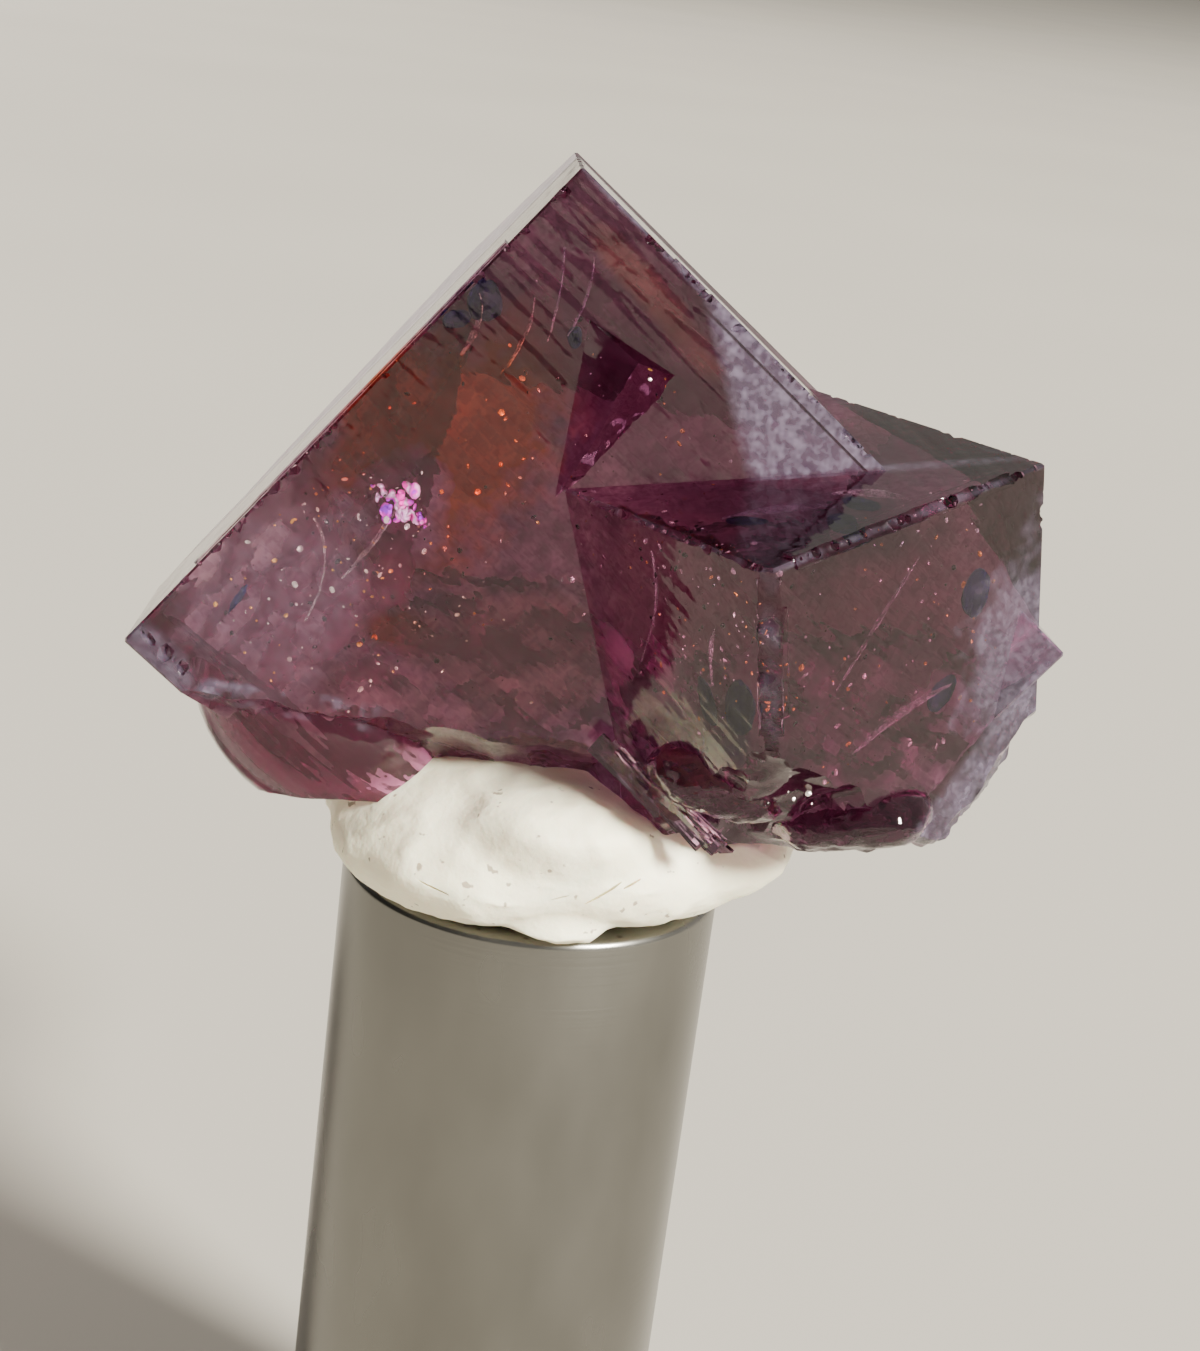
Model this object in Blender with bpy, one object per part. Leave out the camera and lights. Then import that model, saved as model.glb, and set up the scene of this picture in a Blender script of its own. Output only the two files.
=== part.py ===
"""A purple fluorite crystal stuck with mounting putty on the end of a short round metal rod.

Two cubes of fluorite grew through each other, so their crystal is one solid. Its underside is broken.
A lump of putty grips the broken side and laps over the rim of the rod, and the rod stands on its flat foot.
The origin is the middle of that foot, +Z runs up the rod and -Y is the side with the large flat face.
Sizes are in millimetres until they reach a mesh, which is in metres.
"""

import math

import bmesh
import bpy
from mathutils import Euler, Matrix, Vector

MM = 0.001
GAP = 0.3  # between pieces that touch

# The rod
ROD_RADIUS = 3.0
ROD_LENGTH = 14.0
ROD_EDGE = 0.15
ROD_SIDES = 72

# The large cube: its uppermost front corner, its turn and its three edges
# In its own axes X faces up and right, Y up and left, Z forward
LARGE_CORNER = Vector((-0.44, -2.08, 25.19))
LARGE_TURN = (84.6, -52.0, 7.9)
LARGE_EDGES = (9.4, 9.9, 8.4)

# The small cube: the corner that stands out in front, its turn and its three edges
# In its own axes X faces left and forward, Y right and forward, Z up
SMALL_CORNER = Vector((2.68, -5.47, 20.73))
SMALL_TURN = (0.3, 12.4, -138.0)
SMALL_EDGES = (5.4, 8.5, 6.2)

EDGE_WEAR = 0.05  # the width lost along every crystal edge

# Breaks are planes: a point on each, and the way the broken surface faces
UNDERSIDE = (Vector((0.0, 0.0, 15.4)), Vector((0.06, -0.10, -1.0)))
RIGHT_BREAK = (Vector((7.62, -1.2, 18.90)), Vector((0.87, -0.26, -0.42)))
LARGE_BREAKS = (
    (Vector((-2.20, -2.62, 17.0)), Vector((0.0, -0.62, -0.78))),  # cleavage under the large face
    (Vector((-0.73, 2.40, 24.90)), Vector((0.0, 0.78, 0.63))),  # behind the top corner
    (Vector((-6.10, 0.60, 18.00)), Vector((-0.75, 0.64, 0.15))),  # behind the left corner
    (Vector((0.0, 2.60, 15.40)), Vector((-0.10, 0.55, -0.83))),  # lower back
    (Vector((-6.12, -2.70, 18.10)), Vector((-0.94, -0.30, 0.10))),  # nick in the left corner
    UNDERSIDE,
    RIGHT_BREAK,
)
SMALL_BREAKS = (
    (Vector((6.79, -2.27, 21.50)), Vector((0.90, -0.40, 0.08))),  # right side
    (Vector((3.07, -5.05, 18.13)), Vector((-0.30, -0.72, -0.62))),  # lower front, left of the edge
    (Vector((3.07, -5.05, 18.13)), Vector((0.16, -0.70, -0.70))),  # lower front, right of the edge
    (Vector((0.0, 2.60, 15.60)), Vector((0.20, 0.60, -0.78))),  # lower back
    (Vector((3.0, -3.0, 15.85)), Vector((0.05, -0.15, -1.0))),  # underside
    RIGHT_BREAK,
)

# Rounded lumps of the broken underside: middle, radii and turn about Y
LUMPS = (
    (Vector((-3.40, -0.40, 16.50)), (2.25, 2.35, 1.75), 30.0),  # smooth bulge, lower left
    (Vector((2.55, -3.45, 17.05)), (1.05, 0.75, 0.55), 12.0),  # small bump under the standing edge
    (Vector((4.50, -2.90, 16.62)), (1.20, 0.90, 0.50), -10.0),  # swelling, lower right
)

# The hollow in the underside, which the putty fills: middle and radii of that putty
FILLED_HOLLOW = (Vector((0.0, 0.2, 15.1)), (1.90, 1.50, 1.00))

# Hollows that the break scooped out: middle and radii
SCOOPS = (
    (Vector((-0.75, -3.35, 15.50)), (1.25, 1.30, 1.00)),
    (Vector((-2.30, -3.20, 16.20)), (0.80, 0.95, 0.75)),
    (Vector((0.70, -3.20, 15.75)), (0.80, 0.95, 0.75)),
    (Vector((-3.20, 3.60, 15.40)), (2.20, 1.60, 1.50)),
    (Vector((2.60, 3.90, 15.60)), (2.00, 1.50, 1.70)),
)

# Splinters of cleavage that lie side by side under the lower front
SPLINTER_COUNT = 5
SPLINTER_FIRST = Vector((1.30, -2.95, 16.75))
SPLINTER_STEP = Vector((0.24, -0.10, -0.10))
SPLINTER_SIZE = (1.30, 0.30, 0.40)
SPLINTER_SLOPE = 33.0  # degrees below level, towards the right

# Growth steps that stand on the faces and terraces that are missing from them
# Each is a block's low corner and its lengths, in the axes of its cube
LARGE_STEPS = (
    ((-0.16, -6.40, -0.10), (0.20, 4.60, 0.14)),
    ((-8.60, -0.40, -2.60), (5.20, 0.45, 1.70)),
)
SMALL_STEPS = (
    ((-0.20, -0.20, -2.45), (0.27, 0.27, 2.10)),
    ((-4.70, -0.24, -0.12), (4.20, 0.30, 0.18)),
)
LARGE_TERRACES = (
    ((-6.80, -10.2, -9.00), (3.60, 6.20, 0.85)),
    ((-3.20, -5.20, -9.00), (2.10, 3.60, 1.05)),
    ((-0.22, -9.90, -6.60), (0.60, 6.50, 2.60)),
    ((-7.60, -0.20, -7.40), (4.20, 0.60, 3.30)),
)

# The putty: a lump pressed between the break and the rod
PUTTY_MIDDLE = Vector((0.15, -0.25, 15.10))
PUTTY_RADII = (3.62, 3.45, 1.52)
PUTTY_SIDES = 48
PUTTY_RINGS = 24
# What was squeezed out of it: the way it went, how far and how wide, as the cosine where it fades out
PUTTY_SWELLS = (
    (Vector((0.98, -0.20, 0.02)), 0.42, 0.84),  # lobe past the rim, right
    (Vector((-0.50, -0.76, -0.42)), 0.34, 0.72),  # roll over the rim, front left
    (Vector((0.10, -0.84, 0.53)), 0.55, 0.88),  # ridge pushed up into the hollow
    (Vector((0.14, -0.80, -0.58)), 0.30, 0.975),  # flap under the roll
    (Vector((-0.86, 0.10, 0.50)), 0.20, 0.80),  # under the smooth bulge
)

FLUORITE_COLOUR = (0.16, 0.05, 0.13, 1.0)
PUTTY_COLOUR = (0.78, 0.74, 0.62, 1.0)
ROD_COLOUR = (0.36, 0.35, 0.33, 1.0)


def clear_scene():
    for obj in list(bpy.data.objects):
        bpy.data.objects.remove(obj, do_unlink=True)


def material(name, colour, roughness, metallic=0.0, transmission=0.0, ior=1.5):
    made = bpy.data.materials.new(name)
    made.use_nodes = True
    shader = made.node_tree.nodes["Principled BSDF"]
    shader.inputs["Base Color"].default_value = colour
    shader.inputs["Roughness"].default_value = roughness
    shader.inputs["Metallic"].default_value = metallic
    shader.inputs["Transmission Weight"].default_value = transmission
    shader.inputs["IOR"].default_value = ior
    made.diffuse_color = colour
    return made


def new_object(name, bm, surface=None):
    """Turns millimetres into metres and links the mesh as an object."""
    bmesh.ops.scale(bm, vec=(MM, MM, MM), verts=bm.verts)
    bmesh.ops.recalc_face_normals(bm, faces=bm.faces)
    mesh = bpy.data.meshes.new(name)
    bm.to_mesh(mesh)
    bm.free()
    obj = bpy.data.objects.new(name, mesh)
    bpy.context.collection.objects.link(obj)
    if surface:
        mesh.materials.append(surface)
    return obj


def as_helper(obj):
    obj.hide_render = True
    obj.display_type = "WIRE"
    return obj


def combine(obj, operation, helper):
    modifier = obj.modifiers.new(f"{operation.lower()} {helper.name}", "BOOLEAN")
    modifier.operation = operation
    modifier.solver = "EXACT"
    modifier.object = helper


def turn_matrix(degrees):
    return Euler([math.radians(angle) for angle in degrees], "XYZ").to_matrix()


def break_off(bm, point, facing, grow):
    """Takes away what lies past the plane, and closes the cut."""
    facing = facing.normalized()
    cut = bmesh.ops.bisect_plane(
        bm,
        geom=bm.verts[:] + bm.edges[:] + bm.faces[:],
        plane_co=point + facing * grow,
        plane_no=facing,
        clear_outer=True,
    )
    rim = [piece for piece in cut["geom_cut"] if isinstance(piece, bmesh.types.BMEdge)]
    if rim:
        bmesh.ops.edgeloop_fill(bm, edges=rim)


def broken_cube(name, corner, turn, edges, breaks, grow=0.0):
    """One cube of the twin, filling -edges to 0 from its corner, grown outward by grow for a clearance."""
    bm = bmesh.new()
    bmesh.ops.create_cube(bm, size=1.0)
    for vert in bm.verts:
        vert.co = Vector(
            grow if share > 0 else -edge - grow for share, edge in zip(vert.co, edges)
        )
    bmesh.ops.transform(bm, matrix=turn_matrix(turn), verts=bm.verts)
    bmesh.ops.translate(bm, vec=corner, verts=bm.verts)
    for point, facing in breaks:
        break_off(bm, point, facing, grow)
    if not grow:
        bmesh.ops.bevel(bm, geom=bm.edges[:], offset=EDGE_WEAR, segments=1, affect="EDGES")
    return as_helper(new_object(name, bm))


def ellipsoid(name, middle, radii, turn_about_y=0.0, grow=0.0, detail=3):
    bm = bmesh.new()
    bmesh.ops.create_icosphere(bm, subdivisions=detail, radius=1.0)
    bmesh.ops.scale(bm, vec=[radius + grow for radius in radii], verts=bm.verts)
    turn = Matrix.Rotation(math.radians(turn_about_y), 3, "Y")
    bmesh.ops.transform(bm, matrix=turn, verts=bm.verts)
    bmesh.ops.translate(bm, vec=middle, verts=bm.verts)
    return as_helper(new_object(name, bm))


def box(name, low, size, turn, origin):
    """A block from its low corner, in the axes of a cube with that turn and origin."""
    bm = bmesh.new()
    bmesh.ops.create_cube(bm, size=1.0)
    for vert in bm.verts:
        vert.co = Vector(
            start + length * (share + 0.5) for share, start, length in zip(vert.co, low, size)
        )
    bmesh.ops.transform(bm, matrix=turn_matrix(turn), verts=bm.verts)
    bmesh.ops.translate(bm, vec=origin, verts=bm.verts)
    return as_helper(new_object(name, bm))


def make_fluorite():
    crystal = broken_cube(
        "fluorite_twin", LARGE_CORNER, LARGE_TURN, LARGE_EDGES, LARGE_BREAKS
    )
    crystal.hide_render = False
    crystal.display_type = "TEXTURED"
    crystal.data.materials.append(
        material("purple fluorite", FLUORITE_COLOUR, 0.04, transmission=1.0, ior=1.434)
    )
    small = broken_cube("small cube", SMALL_CORNER, SMALL_TURN, SMALL_EDGES, SMALL_BREAKS)
    combine(crystal, "UNION", small)
    for number, (middle, radii, turn) in enumerate(LUMPS, 1):
        combine(crystal, "UNION", ellipsoid(f"lump {number}", middle, radii, turn))
    for kind, operation, blocks, turn, corner in (
        ("large step", "UNION", LARGE_STEPS, LARGE_TURN, LARGE_CORNER),
        ("small step", "UNION", SMALL_STEPS, SMALL_TURN, SMALL_CORNER),
        ("terrace", "DIFFERENCE", LARGE_TERRACES, LARGE_TURN, LARGE_CORNER),
    ):
        for number, (low, size) in enumerate(blocks, 1):
            combine(crystal, operation, box(f"{kind} {number}", low, size, turn, corner))
    for number in range(SPLINTER_COUNT):
        start = SPLINTER_FIRST + SPLINTER_STEP * number
        splinter = box(
            f"splinter {number}",
            [-length / 2 for length in SPLINTER_SIZE],
            SPLINTER_SIZE,
            (8.0 * number, SPLINTER_SLOPE, -20.0),
            start,
        )
        combine(crystal, "UNION", splinter)
    for number, (middle, radii) in enumerate(SCOOPS, 1):
        combine(crystal, "DIFFERENCE", ellipsoid(f"scoop {number}", middle, radii, detail=2))
    combine(crystal, "DIFFERENCE", ellipsoid("filled hollow", *FILLED_HOLLOW, grow=GAP))
    return crystal


def make_putty():
    bm = bmesh.new()
    bmesh.ops.create_uvsphere(
        bm, u_segments=PUTTY_SIDES, v_segments=PUTTY_RINGS, radius=1.0
    )
    for vert in bm.verts:
        way = vert.co.normalized()
        place = Vector(share * radius for share, radius in zip(way, PUTTY_RADII))
        for swell, height, fade in PUTTY_SWELLS:
            share = max(0.0, (way.dot(swell.normalized()) - fade) / (1.0 - fade))
            place += swell.normalized() * height * share * share * (3.0 - 2.0 * share)
        vert.co = place
    bmesh.ops.translate(bm, vec=PUTTY_MIDDLE, verts=bm.verts)
    putty = new_object("mounting_putty", bm, material("cream putty", PUTTY_COLOUR, 0.75))
    clearances = [
        broken_cube(
            "large clearance", LARGE_CORNER, LARGE_TURN, LARGE_EDGES, LARGE_BREAKS, GAP
        ),
        broken_cube(
            "small clearance", SMALL_CORNER, SMALL_TURN, SMALL_EDGES, SMALL_BREAKS, GAP
        ),
    ]
    clearances += [
        ellipsoid(f"lump clearance {number}", middle, radii, turn, GAP)
        for number, (middle, radii, turn) in enumerate(LUMPS, 1)
    ]
    for clearance in clearances:
        combine(putty, "DIFFERENCE", clearance)
    combine(putty, "UNION", ellipsoid("hollow's putty", *FILLED_HOLLOW))
    combine(putty, "DIFFERENCE", as_helper(rod_solid("rod clearance", GAP)))
    return putty


def rod_solid(name, grow=0.0, surface=None):
    bm = bmesh.new()
    radius = ROD_RADIUS + grow
    bmesh.ops.create_cone(
        bm,
        cap_ends=True,
        segments=ROD_SIDES,
        radius1=radius,
        radius2=radius,
        depth=ROD_LENGTH,
    )
    bmesh.ops.translate(bm, vec=(0.0, 0.0, ROD_LENGTH / 2 + grow), verts=bm.verts)
    if not grow:
        rims = [edge for edge in bm.edges if abs(edge.verts[0].co.z - edge.verts[1].co.z) < MM]
        bmesh.ops.bevel(bm, geom=rims, offset=ROD_EDGE, segments=2, affect="EDGES")
    return new_object(name, bm, surface)


def make_rod():
    rod = rod_solid("holder_rod", surface=material("satin metal", ROD_COLOUR, 0.3, 1.0))
    rod.data.shade_smooth()
    rod.data.set_sharp_from_angle(angle=math.radians(30))
    return rod


clear_scene()
make_rod()
make_fluorite()
make_putty()
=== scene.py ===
"""The looks of a purple fluorite twin, held with cream putty on the end of a short metal rod.

Pieces are modelled in millimetres and brought to metres when they are finished, each in the frame of the
solids: the origin is the middle of the rod's foot, +Z runs up the rod, -Y is the large crystal face's side.
"""

import math
import random

import bpy
from mathutils import Euler, Matrix, Vector


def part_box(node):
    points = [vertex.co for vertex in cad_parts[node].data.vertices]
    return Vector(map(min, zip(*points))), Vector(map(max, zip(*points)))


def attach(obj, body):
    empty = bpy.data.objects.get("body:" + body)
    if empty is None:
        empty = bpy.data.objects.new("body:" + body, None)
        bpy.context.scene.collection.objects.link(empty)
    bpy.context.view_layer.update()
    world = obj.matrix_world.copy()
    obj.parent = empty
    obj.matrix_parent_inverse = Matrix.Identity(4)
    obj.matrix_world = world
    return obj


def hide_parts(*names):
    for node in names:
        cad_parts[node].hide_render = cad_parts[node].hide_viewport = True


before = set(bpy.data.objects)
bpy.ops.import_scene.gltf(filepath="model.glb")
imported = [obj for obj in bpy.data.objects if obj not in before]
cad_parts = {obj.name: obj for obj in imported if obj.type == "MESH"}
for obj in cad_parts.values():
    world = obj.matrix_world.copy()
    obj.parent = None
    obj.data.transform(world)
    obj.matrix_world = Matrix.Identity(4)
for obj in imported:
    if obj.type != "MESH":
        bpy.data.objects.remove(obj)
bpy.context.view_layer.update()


# Camera
# It stands close in front of the specimen, looks a little down on it and leans, as in the photograph.
# The focal length is 2400 pixels of a frame whose long side is 1351.
MM = 0.001
CAMERA_PLACE = Vector((0.695, -35.563, 28.814))
CAMERA_LOOKS_DOWN = 18.0
CAMERA_LEAN = 7.4
FOCAL_PIXELS = 2400.0
LONG_SIDE_PIXELS = 1351.0

camera_data = bpy.data.cameras.new("camera")
camera_data.sensor_width = 36.0
camera_data.lens = camera_data.sensor_width * FOCAL_PIXELS / LONG_SIDE_PIXELS
camera_data.clip_start = 0.001
camera_data.clip_end = 60.0
camera = bpy.data.objects.new("camera", camera_data)
bpy.context.scene.collection.objects.link(camera)
camera.matrix_world = (
    Matrix.Translation(CAMERA_PLACE * MM)
    @ Matrix.Rotation(math.radians(90.0 - CAMERA_LOOKS_DOWN), 4, "X")
    @ Matrix.Rotation(math.radians(CAMERA_LEAN), 4, "Z")
)
bpy.context.scene.camera = camera


# Floor and studio light
# A plain pale floor, a soft light in front on the right that leaves the left side in shade, a weak one
# behind on the left, and a sky that grows pale to the right.
class Value:
    """A socket's value in shader maths: each operator adds its Math node."""

    def __init__(self, tree, socket):
        self.tree, self.socket = tree, socket

    def math(self, operation, *others, clamp=False):
        made = self.tree.nodes.new("ShaderNodeMath")
        made.operation, made.use_clamp = operation, clamp
        for place, value in zip(made.inputs, (self, *others)):
            if isinstance(value, Value):
                self.tree.links.new(value.socket, place)
            else:
                place.default_value = value
        return Value(self.tree, made.outputs[0])

    def __add__(self, other):
        return self.math("ADD", other)

    def __sub__(self, other):
        return self.math("SUBTRACT", other)

    def __mul__(self, other):
        return self.math("MULTIPLY", other)

    def __rsub__(self, other):
        return self.math("MULTIPLY", -1.0).math("ADD", other)

    __radd__, __rmul__ = __add__, __mul__

    def above(self, edge, blur):
        """0 below the edge and 1 above it, blurred."""
        return ((self - edge) * (1.0 / blur) + 0.5).math("MAXIMUM", 0.0).math("MINIMUM", 1.0)


class Shader:
    """A material's node tree, with one method for any node."""

    def __init__(self, owner):
        owner.use_nodes = True
        self.owner, self.tree = owner, owner.node_tree
        self.tree.nodes.clear()

    def node(self, kind, settings=None, stops=None, output=0, **values):
        made = self.tree.nodes.new(kind)
        for key, value in (settings or {}).items():
            setattr(made, key, value)
        if stops:
            ramp = made.color_ramp
            while len(ramp.elements) < len(stops):
                ramp.elements.new(0.5)
            for element, (place, colour) in zip(ramp.elements, stops):
                element.position, element.color = place, (*colour, 1.0)
        for key, value in values.items():
            wanted = key.replace("_", " ")
            socket = next(
                s for s in made.inputs if s.enabled and s.name == wanted or s.identifier == key
            )
            if isinstance(value, Value):
                self.tree.links.new(value.socket, socket)
            elif isinstance(value, tuple) and socket.type == "RGBA":
                socket.default_value = (*value, 1.0)
            else:
                socket.default_value = value
        return Value(self.tree, made.outputs[output])

    def mix(self, factor, a, b, blend="MIX"):
        """Colour a where the factor is 0 and b where it is 1."""
        made = self.tree.nodes.new("ShaderNodeMix")
        made.data_type, made.blend_type = "RGBA", blend
        for socket, value in zip((made.inputs[0], made.inputs[6], made.inputs[7]), (factor, a, b)):
            if isinstance(value, Value):
                self.tree.links.new(value.socket, socket)
            else:
                socket.default_value = (*value, 1.0) if isinstance(value, tuple) else value
        return Value(self.tree, made.outputs[2])

    def place(self, turn=(0, 0, 0), scale=(1, 1, 1), middle=(0, 0, 0)):
        """Object coordinates in millimetres, centred, turned and scaled for a pattern."""
        return self.node(
            "ShaderNodeMapping",
            {"vector_type": "TEXTURE"},
            Vector=self.node("ShaderNodeTexCoord", output=3),
            Location=tuple(Vector(middle) * MM),
            Rotation=tuple(math.radians(angle) for angle in turn),
            Scale=tuple(Vector(scale) * MM),
        )

    def noise(self, spot, size, detail=3.0, roughness=0.5):
        return self.node(
            "ShaderNodeTexNoise", Vector=spot, Scale=1.0 / size, Detail=detail, Roughness=roughness
        )

    def zone(self, middle, radii, turn, ragged, blur=0.6):
        """1 inside a ball with those radii in millimetres and a soft ragged rim, and 0 outside it."""
        far = self.node(
            "ShaderNodeVectorMath",
            {"operation": "LENGTH"},
            output=1,
            Vector=self.place(turn, radii, middle),
        )
        return 1.0 - (far + ragged).above(1.0, blur)

    def side(self, spot, facing, edge, blur):
        """1 beyond a plane, which is that many millimetres along the direction that it faces."""
        along = self.node(
            "ShaderNodeVectorMath",
            {"operation": "DOT_PRODUCT"},
            output=1,
            Vector=spot,
            Vector_001=tuple(facing),
        )
        return along.above(edge, blur)

    def bump(self, height, depth, strength=1.0):
        """A normal from a height of 0 to 1 that stands for that many millimetres."""
        return self.node("ShaderNodeBump", Height=height, Distance=depth * MM, Strength=strength)

    def output(self, surface=None, volume=None, kind="ShaderNodeOutputMaterial"):
        made = self.tree.nodes.new(kind)
        if surface:
            self.tree.links.new(surface.socket, made.inputs["Surface"])
        if volume:
            self.tree.links.new(volume.socket, made.inputs["Volume"])
        return self.owner


def deselect():
    if bpy.context.object and bpy.context.object.mode == "EDIT":
        bpy.ops.mesh.select_all(action="DESELECT")
    else:
        bpy.ops.object.select_all(action="DESELECT")


def pick(obj):
    """Selects one object alone and makes it active."""
    deselect()
    obj.select_set(True)
    bpy.context.view_layer.objects.active = obj


def finish_modifier(obj, kind, **settings):
    """Adds a modifier and applies it."""
    pick(obj)
    made = obj.modifiers.new(kind.lower(), kind)
    for key, value in settings.items():
        setattr(made, key, value)
    bpy.ops.object.modifier_apply(modifier=made.name)


def settle(obj, name, surface, replaced=None):
    """Brings a piece from millimetres to metres, with its place in its mesh, and rides it on the root."""
    pick(obj)
    obj.scale = (MM, MM, MM)
    bpy.ops.object.transform_apply(location=True, rotation=True, scale=True)
    obj.name = obj.data.name = name
    obj.data.materials.clear()
    obj.data.materials.append(surface)
    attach(obj, "root")
    if replaced:
        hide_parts(replaced)


FLOOR_REACH = 30.0
FLOOR_COLOURS = (0.36, 0.34, 0.305), (0.39, 0.37, 0.33)
FLOOR_CLOUDS = 40.0
deselect()
bpy.ops.mesh.primitive_plane_add(size=FLOOR_REACH)
floor = bpy.context.object
floor.name = "floor"
shader = Shader(bpy.data.materials.new("pale floor"))
floor.data.materials.append(
    shader.output(
        shader.node(
            "ShaderNodeBsdfPrincipled",
            Base_Color=shader.mix(shader.noise(shader.place(), FLOOR_CLOUDS, 0.0), *FLOOR_COLOURS),
            Roughness=0.9,
        )
    )
)

# Lights: place in metres, size, power and colour. Both look at the specimen's middle
LIGHT_AIM = Vector((0, 0, 0.018))
LIGHTS = (
    ("key light", (0.95, -0.75, 0.80), 0.35, 105.0, (1.0, 0.95, 0.84)),
    ("back light", (-0.42, 0.60, 0.21), 0.30, 4.5, (1.0, 0.93, 0.84)),
)
for name, place, size, power, colour in LIGHTS:
    data = bpy.data.lights.new(name, "AREA")
    data.shape, data.size, data.energy, data.color = "DISK", size, power, colour
    light = bpy.data.objects.new(name, data)
    bpy.context.scene.collection.objects.link(light)
    light.location = place
    light.rotation_euler = (-Vector(place) + LIGHT_AIM).to_track_quat("-Z", "Y").to_euler()

# The sky from its left to its right
SKY_COLOURS = ((0.0, (0.06, 0.055, 0.05)), (0.45, (0.68, 0.65, 0.59)), (1.0, (1.0, 0.95, 0.88)))
SKY_STRENGTH = 0.78
sky = bpy.data.worlds.new("studio")
bpy.context.scene.world = sky
shader = Shader(sky)
across = shader.node(
    "ShaderNodeSeparateXYZ", Vector=shader.node("ShaderNodeTexCoord", output=0)
)
glow = shader.node("ShaderNodeValToRGB", stops=SKY_COLOURS, Fac=across * 0.5 + 0.5)
shader.output(
    shader.node("ShaderNodeBackground", Color=glow, Strength=SKY_STRENGTH),
    kind="ShaderNodeOutputWorld",
)


# Rod
# A length of round metal bar, 6 mm thick, turned and rubbed to a satin finish. It stands on its
# flat foot, and its rims are broken by a small bevel.
ROD_LOW, ROD_HIGH = (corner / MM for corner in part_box("holder_rod"))
ROD_RADIUS = (ROD_HIGH.x - ROD_LOW.x) / 2
ROD_SIDES = 160
ROD_RIM = 0.15
ROD_GREYS = (0.14, 0.138, 0.128), (0.22, 0.216, 0.20)

deselect()
bpy.ops.mesh.primitive_cylinder_add(
    vertices=ROD_SIDES,
    radius=ROD_RADIUS,
    depth=ROD_HIGH.z,
    location=(0, 0, ROD_HIGH.z / 2),
    end_fill_type="NGON",
)
rod = bpy.context.object
bpy.ops.object.transform_apply(location=True)
bpy.ops.object.mode_set(mode="EDIT")
deselect()
bpy.ops.mesh.select_mode(type="EDGE")
bpy.ops.object.mode_set(mode="OBJECT")
for edge in rod.data.edges:
    low, high = (rod.data.vertices[v].co.z for v in edge.vertices)
    edge.select = abs(low - high) < 0.01
bpy.ops.object.mode_set(mode="EDIT")
bpy.ops.mesh.bevel(offset=ROD_RIM, segments=3)
deselect()
bpy.ops.object.mode_set(mode="OBJECT")
bpy.ops.object.shade_smooth_by_angle(angle=math.radians(40))

shader = Shader(bpy.data.materials.new("satin rod metal"))
turned = shader.noise(shader.place(scale=(6.0, 6.0, 0.05)), 1.0, 4.0)
smears = shader.noise(shader.place(scale=(1.0, 1.0, 2.2)), 1.4, 3.0)
settle(
    rod,
    "rod",
    shader.output(
        shader.node(
            "ShaderNodeBsdfPrincipled",
            Base_Color=shader.mix(smears, *ROD_GREYS),
            Metallic=1.0,
            Roughness=smears.above(0.5, 0.5) * 0.10 + 0.20,
            Normal=shader.bump(turned, 0.004, 0.6),
        )
    ),
    "holder_rod",
)


# Crystal
# Clear purple fluorite: a large cube and a small one that grew through each other, broken off below.
# It is held by the putty under its broken side, and its flat faces carry low square growth steps.
LARGE_CORNER = Vector((-0.44, -2.08, 25.19))
LARGE_TURN = (84.6, -52.0, 7.9)
LARGE_EDGES = (9.4, 9.9, 8.4)
SMALL_CORNER = Vector((2.68, -5.47, 20.73))
SMALL_TURN = (0.3, 12.4, -138.0)
SMALL_EDGES = (5.4, 8.5, 6.2)

# Rough breaks that are named again below: a point and the way each faces
LOWER_BREAK = (-2.20, -2.62, 17.0), (0.0, -0.62, -0.78)
RIGHT_BREAK = (7.62, -1.2, 18.90), (0.87, -0.26, -0.42)
SMALL_LOW_CORNER = (3.07, -5.05, 18.13)


def turn_of(degrees):
    """A turn about X, Y and Z as a matrix."""
    return Euler([math.radians(angle) for angle in degrees], "XYZ").to_matrix()


def on_cube(corner, turn, spot):
    """A place given in a cube's own axes, from its corner."""
    return corner + turn_of(turn) @ Vector(spot)


def block(low, size, corner, turn, lean=(0, 0, 0)):
    """A plain block in a cube's own axes, from its low corner."""
    deselect()
    bpy.ops.mesh.primitive_cube_add(size=1.0)
    made = bpy.context.object
    made.scale = size
    middle = [start + length / 2 for start, length in zip(low, size)]
    made.rotation_euler = (turn_of(turn) @ turn_of(lean)).to_euler()
    made.location = on_cube(corner, turn, middle)
    bpy.ops.object.transform_apply(location=True, rotation=True, scale=True)
    return made


def merge(obj, other, operation, messy=False):
    """Joins or cuts obj with the other, which is used up."""
    finish_modifier(
        obj, "BOOLEAN", operation=operation, object=other, solver="EXACT", use_self=messy
    )
    bpy.data.objects.remove(other, do_unlink=True)


def relief(name, kind, size, **settings):
    """A procedural height for Displace, with features of that many millimetres."""
    made = bpy.data.textures.new(name, kind)
    made.noise_scale = size
    for key, value in settings.items():
        setattr(made, key, value)
    return made


CRACKED = relief("cracked", "VORONOI", 1.3, distance_metric="DISTANCE", noise_intensity=1.0)
RIPPLED = relief("rippled", "MUSGRAVE", 0.9, musgrave_type="RIDGED_MULTIFRACTAL", octaves=4.0)
GRITTY = relief("gritty", "CLOUDS", 0.28, noise_depth=3)
WAVY = relief("wavy", "CLOUDS", 2.2, noise_depth=1)


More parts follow.
